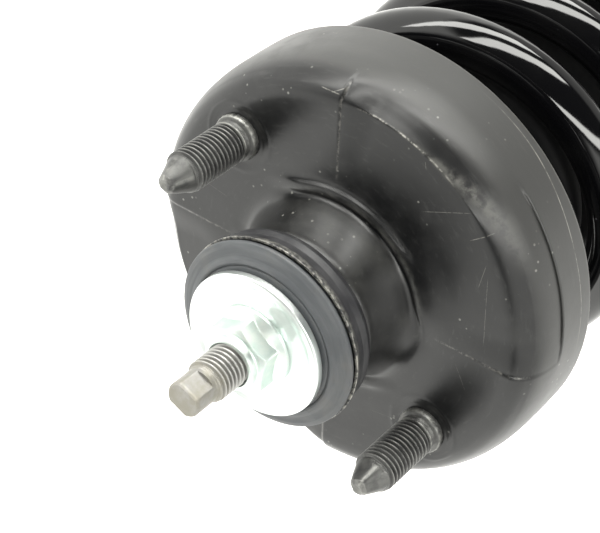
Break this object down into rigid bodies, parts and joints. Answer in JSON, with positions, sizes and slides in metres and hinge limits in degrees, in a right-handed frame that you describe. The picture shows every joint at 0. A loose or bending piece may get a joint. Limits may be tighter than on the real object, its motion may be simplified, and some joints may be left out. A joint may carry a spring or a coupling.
{
  "type": "coil-over suspension strut",
  "caption": "Coil-over strut with a dished two-stud upper mount, rubber bush stack and flange nut, gloss black coil spring, bellows boot, twin-tube damper and a rubber-bushed lower eye.",
  "frame": {"origin": "centre of the stud circle, on the stud seating face of the upper mount", "axes": "+Z along the strut axis towards the rod tip and stud tips; the two studs lie on the X axis; the lower eye's hole runs along Y"},
  "size_m": [0.1038, 0.1038, 0.4808],
  "materials": {
    "black_coat": "satin black electro-coat with dust and scuffs",
    "phosphate": "dark grey phosphated steel, worn bright on edges",
    "zinc": "bright zinc plate with a faint blue-green cast",
    "rubber": "matt blue-grey black rubber",
    "spring_black": "high gloss black powder coat",
    "rod_chrome": "hard chromed and ground",
    "steel": "plain turned steel",
    "sintered": "sintered iron",
    "foam": "microcellular foam",
    "boot": "satin black moulded rubber",
    "liner": "bronze-filled low friction liner"
  },
  "bodies": {
    "upper_mount": {"mount_plate": "black_coat", "mount_studs": "phosphate", "bush_cup": "black_coat", "upper_bush": "rubber", "lower_bush": "rubber", "bush_sleeve": "zinc", "top_washer": "zinc", "rod_nut": "zinc", "lower_washer": "black_coat", "bump_stop_cup": "black_coat", "bump_stop": "foam", "dust_boot": "boot", "upper_insulator": "rubber", "coil_spring": "spring_black", "piston_rod": "rod_chrome", "rebound_stop": "rubber", "piston": "sintered", "piston_band": "liner", "piston_nut": "steel"},
    "damper_body": {"tube_cap": "black_coat", "damper_tube": "black_coat", "rod_seal": "rubber", "rod_guide": "sintered", "guide_bush": "liner", "inner_cylinder": "steel", "base_valve": "sintered", "tube_base": "black_coat", "lower_spring_seat": "black_coat", "lower_insulator": "rubber", "lower_eye": "black_coat", "eye_bush": "rubber"},
    "eye_sleeve_body": {"eye_sleeve": "zinc"}
  },
  "joints": [
    {"name": "damper_slide", "type": "slide", "parent": "upper_mount", "child": "damper_body", "axis": [0, 0, 1], "range_m": [0, 0.115], "stiffness_N_per_m": 44700, "deforming": ["coil_spring", "dust_boot"]},
    {"name": "eye_twist", "type": "hinge", "parent": "damper_body", "child": "eye_sleeve_body", "pos_m": [0, 0, -0.411], "axis": [0, 1, 0], "range_deg": [-15, 15], "stiffness_Nm_per_rad": 50}
  ]
}
